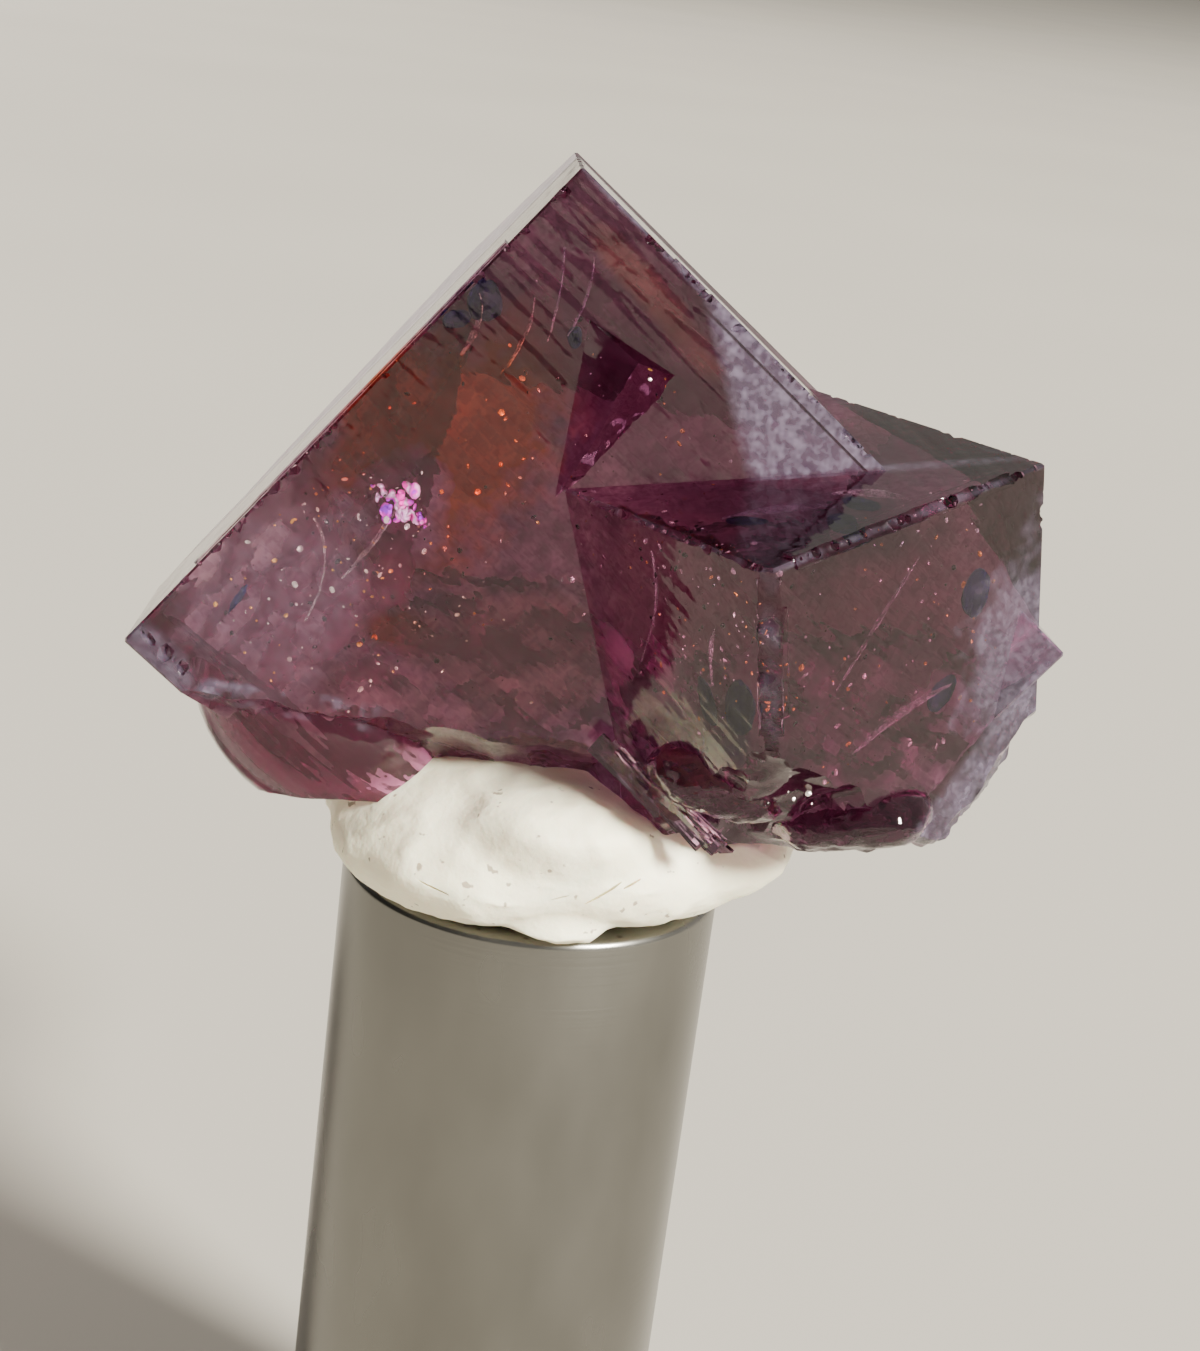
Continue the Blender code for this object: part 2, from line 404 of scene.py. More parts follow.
def broken_tool(point, facing, reach, cells, depth, shares):
    """A block whose inner side is a rough fracture: what it cuts is left with a broken surface."""
    deselect()
    bpy.ops.mesh.primitive_grid_add(x_subdivisions=cells, y_subdivisions=cells, size=reach)
    made = bpy.context.object
    made.rotation_euler = facing.to_track_quat("Z", "Y").to_euler()
    made.location = point
    bpy.ops.object.transform_apply(location=True, rotation=True)
    for texture, share in zip((CRACKED, RIPPLED, GRITTY, WAVY), shares):
        if share:
            finish_modifier(
                made,
                "DISPLACE",
                texture=texture,
                texture_coords="GLOBAL",
                strength=depth * share,
                mid_level=0.5,
                direction="NORMAL",
            )
    bpy.ops.object.mode_set(mode="EDIT")
    bpy.ops.mesh.select_all(action="SELECT")
    bpy.ops.mesh.extrude_region_move(
        TRANSFORM_OT_translate={"value": facing.normalized() * reach * 0.4}
    )
    bpy.ops.mesh.select_all(action="SELECT")
    bpy.ops.mesh.normals_make_consistent(inside=False)
    deselect()
    bpy.ops.object.mode_set(mode="OBJECT")
    return made


def lump(middle, radii, turn_about_y=0.0, detail=4):
    """A ball stretched to three radii."""
    deselect()
    bpy.ops.mesh.primitive_ico_sphere_add(subdivisions=detail, radius=1.0)
    made = bpy.context.object
    made.scale = radii
    made.rotation_euler = (0, math.radians(turn_about_y), 0)
    made.location = middle
    bpy.ops.object.transform_apply(location=True, rotation=True, scale=True)
    return made


# How far each relief shows in a break: cracked, rippled, gritty, wavy. Then the bevel of a worn edge
ROUGH, CONCHOIDAL, EVEN = (1.0, 0.45, 0.22, 0.4), (0.25, 0.35, 0.12, 1.0), (0.0, 0.1, 0.1, 1.0)
EDGE_WEAR = 0.035


def grown_cube(corner, turn, edges, steps, breaks):
    """One cube with worn edges and low growth steps, then broken along each rough plane."""
    made = block([-edge for edge in edges], edges, corner, turn)
    bpy.ops.object.mode_set(mode="EDIT")
    bpy.ops.mesh.select_all(action="SELECT")
    bpy.ops.mesh.bevel(offset=EDGE_WEAR, segments=1)
    deselect()
    bpy.ops.object.mode_set(mode="OBJECT")
    for low, size in steps:
        merge(made, block(low, size, corner, turn), "UNION")
    for point, facing, reach, depth, shares in breaks:
        tool = broken_tool(Vector(point), Vector(facing), reach, 70, depth, shares)
        merge(made, tool, "DIFFERENCE")
    return made


# Growth steps: low corner and lengths, in the cube's own axes
# Breaks: a point, the way the broken surface faces, its reach, the depth of its relief and its kind
crystal = grown_cube(
    LARGE_CORNER,
    LARGE_TURN,
    LARGE_EDGES,
    (
        ((-0.16, -6.40, -0.10), (0.19, 4.60, 0.13)),
        ((-7.90, -0.12, -0.75), (6.40, 0.16, 0.50)),
    ),
    (
        ((-6.20, 0.55, 18.10), (-0.75, 0.64, 0.16), 11.0, 0.30, CONCHOIDAL),
        ((-0.73, 2.40, 24.90), (0.0, 0.78, 0.63), 14.0, 0.25, EVEN),
        ((0.0, 5.70, 19.00), (-0.05, 1.0, 0.0), 16.0, 0.30, EVEN),
        (*LOWER_BREAK, 13.0, 0.22, CONCHOIDAL),
        ((-6.12, -2.70, 18.10), (-0.94, -0.30, 0.10), 6.0, 0.15, ROUGH),
    ),
)
small = grown_cube(
    SMALL_CORNER,
    SMALL_TURN,
    SMALL_EDGES,
    (
        ((-0.20, -0.20, -2.45), (0.25, 0.25, 2.30)),
        ((-0.32, -0.12, -2.20), (0.34, 0.15, 1.60)),
        ((-4.70, -0.24, -0.12), (4.20, 0.28, 0.16)),
        ((-3.60, -0.34, -0.10), (2.60, 0.20, 0.12)),
    ),
    (
        (SMALL_LOW_CORNER, (-0.30, -0.72, -0.62), 8.0, 0.25, ROUGH),
        (SMALL_LOW_CORNER, (0.16, -0.70, -0.70), 8.0, 0.25, ROUGH),
        ((3.0, -3.0, 15.85), (0.05, -0.15, -1.0), 13.0, 0.30, ROUGH),
    ),
)
merge(crystal, small, "UNION")

# The round swelling under the large face, and two small knobbly ones under the small cube
merge(crystal, lump((-3.40, -0.40, 16.50), (2.25, 2.35, 1.75), 30.0), "UNION")
for middle, radii, turn in (
    ((2.55, -3.45, 17.05), (1.05, 0.75, 0.55), 12.0),
    ((4.50, -2.90, 16.62), (1.20, 0.90, 0.50), -10.0),
):
    swelling = lump(middle, radii, turn, 5)
    for texture, depth in ((CRACKED, 0.22), (GRITTY, 0.12)):
        finish_modifier(
            swelling, "DISPLACE", texture=texture, texture_coords="GLOBAL", strength=depth
        )
    merge(crystal, swelling, "UNION")

# Splinters of cleavage lie side by side under the lower front
SPLINTERS = 16
SPLINTERS_FROM, SPLINTERS_TO = Vector((1.15, -2.90, 16.85)), Vector((2.35, -3.40, 16.30))
chance = random.Random(3)
for number in range(SPLINTERS):
    start = SPLINTERS_FROM.lerp(SPLINTERS_TO, number / (SPLINTERS - 1))
    size = (chance.uniform(0.9, 1.5), chance.uniform(0.05, 0.10), chance.uniform(0.20, 0.42))
    lean = (chance.uniform(-10.0, 35.0), chance.uniform(28.0, 38.0), chance.uniform(-28.0, -12.0))
    merge(crystal, block([-length / 2 for length in size], size, start, lean), "UNION")

# Breaks that cut both cubes, then the hollows that the break scooped out
for point, facing, reach, depth, shares in (
    ((0.0, 2.60, 15.50), (0.0, 0.57, -0.82), 18.0, 0.40, CONCHOIDAL),
    (*RIGHT_BREAK, 10.0, 0.22, ROUGH),
    ((0.0, 0.0, 15.45), (0.06, -0.10, -1.0), 16.0, 0.25, ROUGH),
):
    tool = broken_tool(Vector(point), Vector(facing), reach, 100, depth, shares)
    merge(crystal, tool, "DIFFERENCE")
for middle, radii in (
    ((-0.75, -3.35, 15.50), (1.25, 1.30, 1.00)),
    ((0.70, -3.20, 15.75), (0.80, 0.95, 0.75)),
):
    merge(crystal, lump(middle, radii), "DIFFERENCE")

# The putty fills a hollow in the underside
HOLLOW_MIDDLE, HOLLOW_RADII = Vector((0.0, 0.2, 15.1)), Vector((2.04, 1.64, 1.14))
merge(crystal, lump(HOLLOW_MIDDLE, HOLLOW_RADII), "DIFFERENCE")

# The small cube's edges are broken into narrow wavy bevels, as thick as the steps that grew there:
# two faces' directions in its own axes, where the edge's middle is, its length and the bevel's depth
WORN_EDGES = (
    ((1, 1, 0), (0, 0, -1.35), 2.6, 0.13),
    ((0, 1, 1), (-2.6, 0, 0), 5.0, 0.06),
    ((1, 0, 1), (0, -2.2, 0), 4.2, 0.05),
    ((1, 1, 1), (0, 0, 0), 0.9, 0.14),
)
for faces, middle, length, depth in WORN_EDGES:
    facing = (turn_of(SMALL_TURN) @ Vector(faces)).normalized()
    point = on_cube(SMALL_CORNER, SMALL_TURN, middle) - facing * depth
    tool = broken_tool(point, facing, length, 70, 0.10, (0.2, 0.6, 0.8, 0.0))
    merge(crystal, tool, "DIFFERENCE")

# Chips along the edges: the cube, both ends in its own axes, and how many
CHIPPED_EDGES = (
    (LARGE_CORNER, LARGE_TURN, (-0.2, 0, 0), (-8.9, 0, 0), 60),
    (LARGE_CORNER, LARGE_TURN, (0, -0.2, 0), (0, -6.0, 0), 45),
    (LARGE_CORNER, LARGE_TURN, (0, 0, -0.3), (0, 0, -4.5), 14),
    (LARGE_CORNER, LARGE_TURN, (-9.1, 0, 0), (-9.1, -1.0, 0), 12),
    (SMALL_CORNER, SMALL_TURN, (-0.2, 0, 0), (-5.3, 0, 0), 40),
    (SMALL_CORNER, SMALL_TURN, (0, -0.2, 0), (0, -4.2, 0), 25),
    (SMALL_CORNER, SMALL_TURN, (-5.4, 0, 0), (-5.4, -6.0, 0), 30),
    (SMALL_CORNER, SMALL_TURN, (-5.4, 0, -0.1), (-5.4, 0, -1.8), 14),
)
CHIP_SMALLEST, CHIP_LARGEST = 0.025, 0.11
chance = random.Random(7)
chips = []
for corner, turn, start, end, count in CHIPPED_EDGES:
    for _ in range(count):
        spot = Vector(start).lerp(Vector(end), chance.random())
        spot += Vector(chance.uniform(-0.03, 0.03) for _ in range(3))
        size = CHIP_SMALLEST + (CHIP_LARGEST - CHIP_SMALLEST) * chance.random() ** 2.5
        radii = [size * chance.uniform(0.6, 1.7) for _ in range(3)]
        chips.append(lump(on_cube(corner, turn, spot), radii, chance.uniform(0, 90), 1))
deselect()
for chip in chips:
    chip.select_set(True)
bpy.context.view_layer.objects.active = chips[0]
bpy.ops.object.join()
merge(crystal, bpy.context.object, "DIFFERENCE", messy=True)
pick(crystal)
bpy.ops.object.duplicate()
crystal_shape = bpy.context.object
pick(crystal)
bpy.ops.object.shade_smooth_by_angle(angle=math.radians(22))


def facing_plane(point, facing):
    """A plane's unit direction and how far along it the plane lies."""
    facing = Vector(facing).normalized()
    return facing, Vector(point).dot(facing)


shader = Shader(bpy.data.materials.new("purple fluorite"))
# Where the crystal's colour changes: middle, radii, turn, how much it tints, and the tint
COLOUR_ZONES = (
    ((-1.9, -2.4, 21.0), (2.5, 1.2, 2.4), LARGE_TURN, 1.0, (1.0, 0.15, 0.02)),  # warm orange heart
    ((-2.6, -2.4, 21.6), (1.0, 0.8, 0.6), LARGE_TURN, 1.0, (1.0, 0.06, 0.01)),
    ((0.7, -2.2, 22.8), (1.9, 1.2, 1.2), (0, 45, 0), 1.0, (0.26, 0.10, 0.22)),  # dark violet, upper right
    ((0.7, -2.1, 23.6), (1.3, 0.8, 0.22), (0, 44, 0), 0.8, (0.85, 0.42, 0.22)),  # brown band at the edge
    ((-4.2, -2.7, 18.8), (1.8, 1.2, 1.4), (0, 0, 0), 1.0, (1.0, 1.0, 0.98)),  # pale lilac, lower left
    ((-3.4, -2.4, 16.7), (2.2, 1.5, 1.4), (0, 0, 0), 0.8, (1.0, 0.62, 0.60)),  # clear swelling below
    ((-2.3, -2.6, 18.4), (0.6, 0.6, 0.3), (0, 0, 0), 1.0, (0.45, 0.05, 0.03)),  # red patch
    ((4.4, -3.6, 18.9), (2.3, 1.7, 2.0), (0, 0, 0), 0.9, (0.42, 0.12, 0.27)),  # violet right face
    ((4.9, -0.9, 21.8), (1.7, 1.5, 0.5), (0, 0, 0), 0.9, (0.17, 0.08, 0.10)),  # brown top, behind
    ((-0.6, -2.5, 18.2), (1.4, 1.0, 1.0), (0, 0, 0), 0.8, (0.75, 0.50, 0.36)),  # brown window
    ((2.3, -4.2, 18.1), (0.8, 0.9, 0.5), (0, 0, 0), 1.0, (0.05, 0.02, 0.14)),  # navy, low on the left face
    ((3.0, -3.6, 21.0), (2.2, 1.6, 0.40), (0, 0, 0), 1.0, (0.10, 0.045, 0.10)),  # dark top
    ((1.6, -3.6, 19.2), (1.2, 1.4, 1.6), (0, 0, 0), 0.8, (0.45, 0.22, 0.34)),  # dark left face
    ((-2.43, -2.5, 20.1), (0.6, 0.9, 0.8), (0, 0, 0), 1.0, (1.0, 0.85, 1.0)),  # over the bright flake
)
FLUORITE_IOR = 1.434
PURPLE, PURPLE_DEPTH = (0.48, 0.11, 0.32), 390.0
world, large = shader.place(), shader.place(LARGE_TURN, (1, 1, 1), LARGE_CORNER)
speckle = shader.noise(world, 0.14, 1.0, 0.7)
blotches = shader.noise(world, 0.6, 2.0, 0.7)
ragged = blotches * 1.4 - 0.7
tint = shader.mix(
    shader.noise(world, 1.6, 1.0).above(0.5, 0.4), (0.50, 0.33, 0.50), (0.90, 0.75, 0.82)
)
tint = shader.mix(blotches.above(0.48, 0.25), tint, (0.55, 0.40, 0.52), "MULTIPLY")
tint = shader.mix(speckle.above(0.52, 0.2), tint, (0.60, 0.50, 0.58), "MULTIPLY")
for middle, radii, turn, amount, colour in COLOUR_ZONES:
    tint = shader.mix(shader.zone(middle, radii, turn, ragged) * amount, tint, colour)

# Frost: rough places that look pale, and a painted sheen. First the triangle near the large face's right
# corner, which is painted sheen: a pale matte patch where the light's reflection on the face falls
skin = shader.side(large, (0, 0, 1), -0.20, 0.15) * (1.0 - shader.side(large, (0, 0, 1), 0.12, 0.05))
frost_and_sheen = (
    skin
    * shader.side(large, (0.858, -0.515, 0.0), 1.27, 0.25)
    * shader.side(large, (0.651, 0.759, 0.0), -4.555, 0.12)
    * (speckle * 0.4 + 0.45)
)

# Next the broken band on the right and the chipped line under the large face
facing, far = facing_plane(*RIGHT_BREAK)
frost_and_sheen = frost_and_sheen.math(
    "MAXIMUM", shader.side(world, facing, far - 0.36, 0.12) * blotches.above(0.45, 0.4) * 0.7
)
facing, far = facing_plane(*LOWER_BREAK)
frost_and_sheen = frost_and_sheen.math(
    "MAXIMUM",
    skin
    * shader.side(world, facing, far - 0.16, 0.08)
    * (1.0 - shader.side(world, facing, far + 0.12, 0.08))
    * (1.0 - shader.side(world, (1, 0, 0), -2.6, 1.2))
    * blotches.above(0.50, 0.15)
    * 0.7,
)

# And the worn edges and hazy corners: the middle and reach of each, in its cube's own axes
for corner, turn, middle, radii, amount in (
    (SMALL_CORNER, SMALL_TURN, (0, 0, -1.25), (0.16, 0.16, 1.4), 0.16),
    (SMALL_CORNER, SMALL_TURN, (-2.6, 0, 0), (3.0, 0.07, 0.07), 0.22),
    (SMALL_CORNER, SMALL_TURN, (0, -2.2, 0), (0.06, 2.4, 0.06), 0.20),
    (SMALL_CORNER, SMALL_TURN, (-6.0, -0.6, -1.6), (0.9, 0.9, 1.6), 0.35),
    (LARGE_CORNER, LARGE_TURN, (0, -3.0, 0), (0.08, 3.2, 0.10), 0.35),
    (LARGE_CORNER, LARGE_TURN, (-9.3, -0.4, -0.3), (0.4, 0.8, 0.8), 0.35),
    (LARGE_CORNER, LARGE_TURN, (-7.4, -1.2, 0), (1.5, 1.2, 0.4), 0.14),
    (LARGE_CORNER, LARGE_TURN, (-0.6, -9.2, -0.4), (1.3, 1.5, 1.0), 0.40),
):
    edge = shader.zone(on_cube(corner, turn, middle), radii, turn, ragged, 0.5)
    frost_and_sheen = frost_and_sheen.math("MAXIMUM", edge * amount)

# The surface: small pits, square growth steps across the large face, and a back that blurs
pits = shader.noise(world, 0.25, 1.0, 0.65)
steps = shader.noise(shader.place(LARGE_TURN, (0.25, 2.0, 2.0)), 0.9, 1.0)
back = shader.side(world, (0, 1, 0), 0.8, 1.0)
normal = shader.bump(steps * 2.0 + pits * 0.5, 0.014, 0.6)
clear = shader.node(
    "ShaderNodeBsdfPrincipled",
    Base_Color=tint,
    Roughness=(pits.above(0.6, 0.3) * 0.10 + 0.03).math("MAXIMUM", back * 0.5),
    IOR=FLUORITE_IOR,
    Transmission_Weight=1.0,
    Normal=normal,
)
# A pale matte surface: frost on the breaks and worn edges, and on the triangle near the large face's right
# corner a painted sheen
frosted_and_sheen = shader.node(
    "ShaderNodeBsdfPrincipled",
    Base_Color=shader.mix(speckle.above(0.55, 0.3), (0.06, 0.045, 0.075), (0.14, 0.115, 0.17)),
    Roughness=0.3,
    IOR=FLUORITE_IOR,
    Normal=normal,
)
settle(
    crystal,
    "fluorite",
    shader.output(
        shader.node("ShaderNodeMixShader", Fac=frost_and_sheen, Shader=clear, Shader_001=frosted_and_sheen),
        shader.node("ShaderNodeVolumeAbsorption", Color=PURPLE, Density=PURPLE_DEPTH),
    ),
    "fluorite_twin",
)


# Inclusions
# What is sealed in the crystal just under its faces: dark blue patches, thin healed cracks, an
# iridescent flake, and specks that glint or look dark. They grew in it and never come out.
SPARK_FACING = Vector((0.28, -0.896, 0.345))  # the way a flake catches the light on its way out


def flake(place, radii, facing, spin=0.0, detail=3, ragged=0.0):
    """A thin flat scrap with an uneven rim, turned to face a direction."""
    deselect()
    bpy.ops.mesh.primitive_ico_sphere_add(subdivisions=detail, radius=1.0)
    made = bpy.context.object
    made.scale = radii
    turn = facing.to_track_quat("Z", "Y").to_matrix() @ Matrix.Rotation(math.radians(spin), 3, "Z")
    made.rotation_euler = turn.to_euler()
    made.location = place
    bpy.ops.object.transform_apply(location=True, rotation=True, scale=True)
    if ragged:
        finish_modifier(
            made,
            "DISPLACE",
            texture=GRITTY,
            texture_coords="GLOBAL",
            strength=ragged,
            mid_level=0.5,
            direction="NORMAL",
        )
    return made


def veil(corner, turn, path, depth, lean):
    """A thin curved sheet that runs along a path on a face and down into the crystal."""
    deselect()
    bpy.ops.mesh.primitive_grid_add(x_subdivisions=24, y_subdivisions=4, size=2.0)
    made = bpy.context.object
    start, bend, end = (Vector(spot) for spot in path)
    for vert in made.data.vertices:
        along, down = vert.co.x / 2 + 0.5, vert.co.y / 2 + 0.5
        spot = (1 - along) ** 2 * start + 2 * along * (1 - along) * bend + along**2 * end
        taper = math.sin(math.pi * min(1.0, 0.06 + 0.9 * along))
        spot += Vector(lean) * down * depth * taper
        vert.co = on_cube(corner, turn, spot)
    finish_modifier(made, "DISPLACE", texture=GRITTY, texture_coords="GLOBAL", strength=0.05)
    finish_modifier(made, "SOLIDIFY", thickness=0.015)
    return made


def joined(pieces):
    """Makes one object of several."""
    deselect()
    for piece in pieces:
        piece.select_set(True)
    bpy.context.view_layer.objects.active = pieces[0]
    bpy.ops.object.join()
    return bpy.context.object


# Dark blue patches: the cube, the place and half sizes in its own axes, and the face that they lie under
FRONT, LEFT, RIGHT, TOP = (0, 0, 1), (1, 0, 0), (0, 1, 0), (0, 0, 1)
PATCHES = (
    (SMALL_CORNER, SMALL_TURN, (-4.07, -0.16, -1.62), (0.30, 0.36), RIGHT),
    (SMALL_CORNER, SMALL_TURN, (-3.50, -0.35, -3.05), (0.30, 0.22), RIGHT),
    (SMALL_CORNER, SMALL_TURN, (-0.25, -0.75, -2.30), (0.46, 0.30), LEFT),
    (SMALL_CORNER, SMALL_TURN, (-0.30, -1.45, -2.45), (0.36, 0.18), LEFT),
    (SMALL_CORNER, SMALL_TURN, (-1.95, -0.60, -0.22), (0.42, 0.22), TOP),
    (SMALL_CORNER, SMALL_TURN, (-2.65, -0.95, -0.25), (0.34, 0.20), TOP),
    (SMALL_CORNER, SMALL_TURN, (-1.10, -1.60, -0.20), (0.30, 0.16), TOP),
    (LARGE_CORNER, LARGE_TURN, (-2.28, -0.34, -0.25), (0.30, 0.24), FRONT),
    (LARGE_CORNER, LARGE_TURN, (-2.74, -0.22, -0.22), (0.14, 0.20), FRONT),
    (LARGE_CORNER, LARGE_TURN, (-7.81, -0.76, -0.10), (0.05, 0.28), FRONT),
    (LARGE_CORNER, LARGE_TURN, (-1.76, -1.59, -0.20), (0.10, 0.16), FRONT),
)
PATCH_THICKNESS, PATCH_SPIN = 0.03, 37.0
patches = [
    flake(
        on_cube(corner, turn, place),
        (*half, PATCH_THICKNESS),
        turn_of(turn) @ Vector(face),
        spin=PATCH_SPIN * number,
        ragged=0.16,
    )
    for number, (corner, turn, place, half, face) in enumerate(PATCHES)
]
shader = Shader(bpy.data.materials.new("dark blue patch"))
settle(
    joined(patches),
    "navy_patches",
    shader.output(
        shader.node(
            "ShaderNodeBsdfPrincipled",
            Base_Color=shader.mix(
                shader.noise(shader.place(), 0.2, 3.0), (0.003, 0.002, 0.02), (0.010, 0.006, 0.075)
            ),
            Roughness=0.5,
            Specular_IOR_Level=0.2,
        )
    ),
)

# Healed cracks: a curved path in the cube's own axes, how deep each reaches and the way it leans
LARGE_CRACKS = (
    (((-2.25, -0.22, -0.1), (-2.45, -0.62, -0.1), (-3.05, -0.62, -0.1)), 0.5, (0.1, 0.22, -1)),
    (((-1.75, -0.80, -0.1), (-2.20, -1.20, -0.1), (-2.85, -1.20, -0.1)), 0.3, (0.1, 0.15, -1)),
    (((-0.95, -0.60, -0.1), (-1.40, -1.05, -0.1), (-2.05, -1.35, -0.1)), 0.3, (0.0, 0.08, -1)),
    (((-0.75, -1.00, -0.1), (-1.20, -1.40, -0.1), (-1.80, -1.50, -0.1)), 0.25, (0.0, 0.10, -1)),
    (((-4.9, -1.35, -0.4), (-5.6, -1.70, -0.4), (-6.6, -1.65, -0.4)), 0.4, (0.1, 0.1, -1)),
    (((-6.2, -0.75, -0.3), (-6.5, -1.50, -0.3), (-7.4, -1.70, -0.3)), 0.4, (0.1, 0.1, -1)),
)
SMALL_CRACKS = (
    (((-0.15, -2.45, -0.45), (-0.15, -2.25, -1.3), (-0.15, -2.80, -2.3)), 0.25, (-1, -0.3, 0)),
    (((-0.15, -1.15, -1.2), (-0.15, -1.40, -1.6), (-0.15, -1.25, -2.1)), 0.25, (-1, -0.2, 0)),
    (((-1.6, -0.15, -3.3), (-2.6, -0.15, -3.0), (-3.6, -0.15, -2.9)), 0.25, (-0.4, -1, 0.15)),
    (((-1.3, -0.15, -2.2), (-2.0, -0.15, -1.6), (-2.9, -0.15, -0.7)), 0.25, (-0.5, -1, 0)),
    (((-0.9, -1.9, -0.15), (-1.9, -1.9, -0.15), (-2.3, -1.1, -0.15)), 0.3, (0, 0.1, -1)),
    (((-2.6, -1.5, -0.15), (-3.3, -1.3, -0.15), (-3.2, -0.5, -0.15)), 0.3, (0, 0.1, -1)),
)
veils = [veil(LARGE_CORNER, LARGE_TURN, *crack) for crack in LARGE_CRACKS]
veils += [veil(SMALL_CORNER, SMALL_TURN, *crack) for crack in SMALL_CRACKS]
shader = Shader(bpy.data.materials.new("healed crack"))
settle(
    joined(veils),
    "healed_cracks",
    shader.output(
        shader.node(
            "ShaderNodeBsdfPrincipled",
            Base_Color=(0.85, 0.76, 0.78),
            Roughness=0.25,
            Alpha=shader.noise(shader.place(), 0.15, 4.0, 0.7).above(0.52, 0.25) * 0.6,
        )
    ),
)

# The iridescent flake under the large face, in scraps that lie edge to edge along a line
SCRAPS = 60
SCRAPS_MIDDLE, SCRAPS_REACH = Vector((-5.22, -1.50, -0.35)), Vector((0.05, -0.48, 0.05))
chance = random.Random(11)
scraps = []
for _ in range(SCRAPS):
    share = chance.uniform(-1.0, 1.0)
    own = SCRAPS_MIDDLE + SCRAPS_REACH * share
    own += Vector((chance.gauss(0, 0.12), chance.gauss(0, 0.05), 0.0)) * (1.2 - abs(share))
    half = chance.uniform(0.03, 0.12) * (1.25 - abs(share))
    tilt = Vector(chance.gauss(0, 0.05) for _ in range(3))
    scraps.append(
        flake(
            on_cube(LARGE_CORNER, LARGE_TURN, own),
            (half, half * chance.uniform(0.4, 0.9), 0.008),
            SPARK_FACING + tilt,
            chance.uniform(0, 180),
            detail=2,
        )
    )
shader = Shader(bpy.data.materials.new("iridescent flake"))
bands = shader.noise(shader.place(), 0.28, 2.0)
settle(
    joined(scraps),
    "iridescent_flake",
    shader.output(
        shader.node(
            "ShaderNodeBsdfPrincipled",
            Base_Color=shader.node(
                "ShaderNodeValToRGB",
                stops=(
                    (0.36, (0.45, 0.03, 1.0)),
                    (0.44, (1.0, 0.04, 0.80)),
                    (0.52, (1.0, 0.75, 1.0)),
                    (0.60, (1.0, 0.03, 0.60)),
                ),
                Fac=bands,
            ),
            Metallic=1.0,
            Roughness=0.3,
        )
    ),
)

# Specks, by colour: how many, their half sizes, whether they glint, and their colour
SPECKS = (
    ("pale_specks", 300, (0.015, 0.065), True, (0.95, 0.85, 0.80)),
    ("gold_specks", 150, (0.020, 0.060), True, (1.0, 0.50, 0.12)),
    ("dark_specks", 260, (0.015, 0.060), False, (0.03, 0.012, 0.02)),
)
# Where specks lie: the cube, and two corners of a box in its own axes
SPECK_FIELDS = (
    (LARGE_CORNER, LARGE_TURN, (-6.6, -5.0, -0.9), (-1.2, -0.4, -0.05)),
    (LARGE_CORNER, LARGE_TURN, (-8.4, -3.2, -0.7), (-5.0, -0.3, -0.05)),
    (SMALL_CORNER, SMALL_TURN, (-0.8, -3.0, -3.0), (-0.1, -0.4, -0.4)),
    (SMALL_CORNER, SMALL_TURN, (-4.6, -0.8, -4.0), (-0.4, -0.1, -0.4)),
)
chance = random.Random(5)
for name, count, (smallest, largest), glints, colour in SPECKS:
    specks = []
    for number in range(count):
        corner, turn, low, high = SPECK_FIELDS[number % len(SPECK_FIELDS)]
        own = [chance.uniform(a, b) for a, b in zip(low, high)]
        half = smallest + (largest - smallest) * chance.random() ** 3
        spread = 0.12 if glints else 1.0
        facing = SPARK_FACING + Vector(chance.gauss(0, spread) for _ in range(3))
        radii = (half, half * chance.uniform(0.4, 1.0), half * (0.2 if glints else 0.6))
        specks.append(
            flake(on_cube(corner, turn, own), radii, facing, chance.uniform(0, 180), detail=1)
        )
    shader = Shader(bpy.data.materials.new(name.replace("_", " ")))
    settle(
        joined(specks),
        name,
        shader.output(
            shader.node(
                "ShaderNodeBsdfPrincipled",
                Base_Color=colour,
                Metallic=0.7 if glints else 0.0,
                Roughness=0.25,
            )
        ),
    )


# Putty
# Cream putty, pressed by hand between the crystal's broken side and the rod's end, so that it laps
# over the rim and swells out in lobes. It sticks to both.
PUTTY_MIDDLE = Vector((0.15, -0.25, 15.10))
PUTTY_RADII = (3.62, 3.45, 1.52)
PUTTY_CREAMS = (0.93, 0.87, 0.64), (0.98, 0.94, 0.75)
PUTTY_GRIT = (0.42, 0.36, 0.27)
PUTTY_RELIEF = ((RIPPLED, 0.04), (GRITTY, 0.05), (WAVY, 0.20))
PUTTY_MID_LEVEL = 0.9  # most of the relief sinks in
# Lobes: the way each points, how far it stands out, and the cosine at which it fades away
PUTTY_LOBES = (
    (Vector((0.98, -0.20, 0.02)), 0.42, 0.84),
    (Vector((-0.50, -0.76, -0.42)), 0.34, 0.72),
    (Vector((0.10, -0.84, 0.53)), 0.55, 0.88),
    (Vector((0.14, -0.80, -0.58)), 0.30, 0.975),
    (Vector((-0.86, 0.10, 0.50)), 0.20, 0.80),
)
deselect()
bpy.ops.mesh.primitive_ico_sphere_add(subdivisions=6, radius=1.0)
putty = bpy.context.object
for vert in putty.data.vertices:
    way = vert.co.normalized()
    place = Vector(share * radius for share, radius in zip(way, PUTTY_RADII))
    for lobe, height, fade in PUTTY_LOBES:
        share = max(0.0, (way.dot(lobe.normalized()) - fade) / (1.0 - fade))
        place += lobe.normalized() * height * share * share * (3.0 - 2.0 * share)
    vert.co = place + PUTTY_MIDDLE
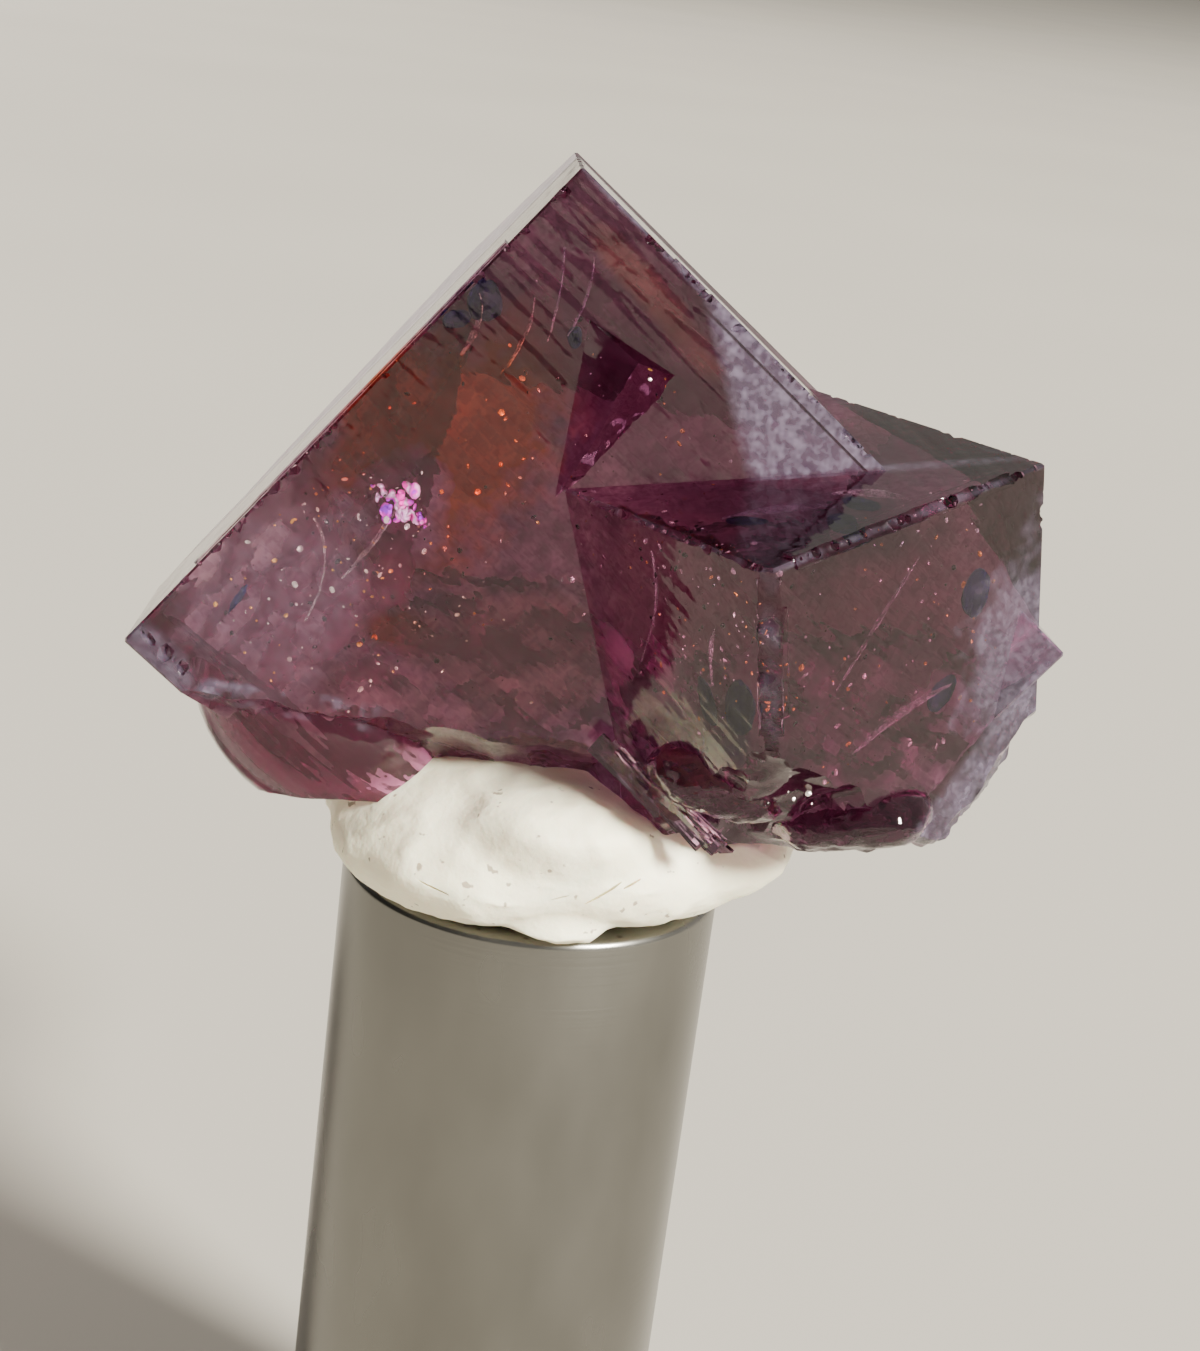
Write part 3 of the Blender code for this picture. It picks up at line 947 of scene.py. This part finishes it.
for texture, depth in PUTTY_RELIEF:
    finish_modifier(
        putty,
        "DISPLACE",
        texture=texture,
        texture_coords="GLOBAL",
        strength=depth,
        mid_level=PUTTY_MID_LEVEL,
    )

# Creases where it was folded while it was pressed on
PUTTY_CREASES = (
    ((0.75, -3.42, 15.28), (0.42, 0.10, 0.028), 24.0),
    ((1.15, -3.40, 15.08), (0.36, 0.10, 0.022), 38.0),
    ((1.45, -3.28, 15.18), (0.30, 0.09, 0.020), 30.0),
    ((0.45, -3.48, 14.95), (0.26, 0.08, 0.018), 18.0),
    ((-1.10, -3.55, 14.85), (0.60, 0.10, 0.018), -12.0),
)
for middle, radii, slope in PUTTY_CREASES:
    merge(putty, lump(middle, radii, -slope, 3), "DIFFERENCE")

# It fits the broken side, fills the hollow there and caps the rod's end
HOLLOW_FIT, ROD_FIT, ROD_END = 0.02, 0.01, 4.0
merge(putty, crystal_shape, "DIFFERENCE")
merge(putty, lump(HOLLOW_MIDDLE, HOLLOW_RADII - Vector([HOLLOW_FIT] * 3)), "UNION")
deselect()
bpy.ops.mesh.primitive_cylinder_add(
    vertices=ROD_SIDES,
    radius=ROD_RADIUS + ROD_FIT,
    depth=ROD_END,
    location=(0, 0, ROD_HIGH.z + ROD_FIT - ROD_END / 2),
)
rod_end = bpy.context.object
bpy.ops.object.transform_apply(location=True)
merge(putty, rod_end, "DIFFERENCE")
pick(putty)
bpy.ops.object.shade_smooth_by_angle(angle=math.radians(50))

shader = Shader(bpy.data.materials.new("cream putty"))
grain = shader.noise(shader.place(), 0.12, 4.0)
mottle = shader.noise(shader.place(), 1.1, 3.0)
grit = shader.noise(shader.place(), 0.22, 2.0).above(0.70, 0.04)
cream = shader.mix(mottle, *PUTTY_CREAMS)
settle(
    putty,
    "putty",
    shader.output(
        shader.node(
            "ShaderNodeBsdfPrincipled",
            Base_Color=shader.mix(grit, cream, PUTTY_GRIT),
            Roughness=mottle * 0.2 + 0.5,
            Subsurface_Weight=0.15,
            Subsurface_Scale=0.0006,
            Normal=shader.bump(grain, 0.02, 0.6),
        )
    ),
    "mounting_putty",
)
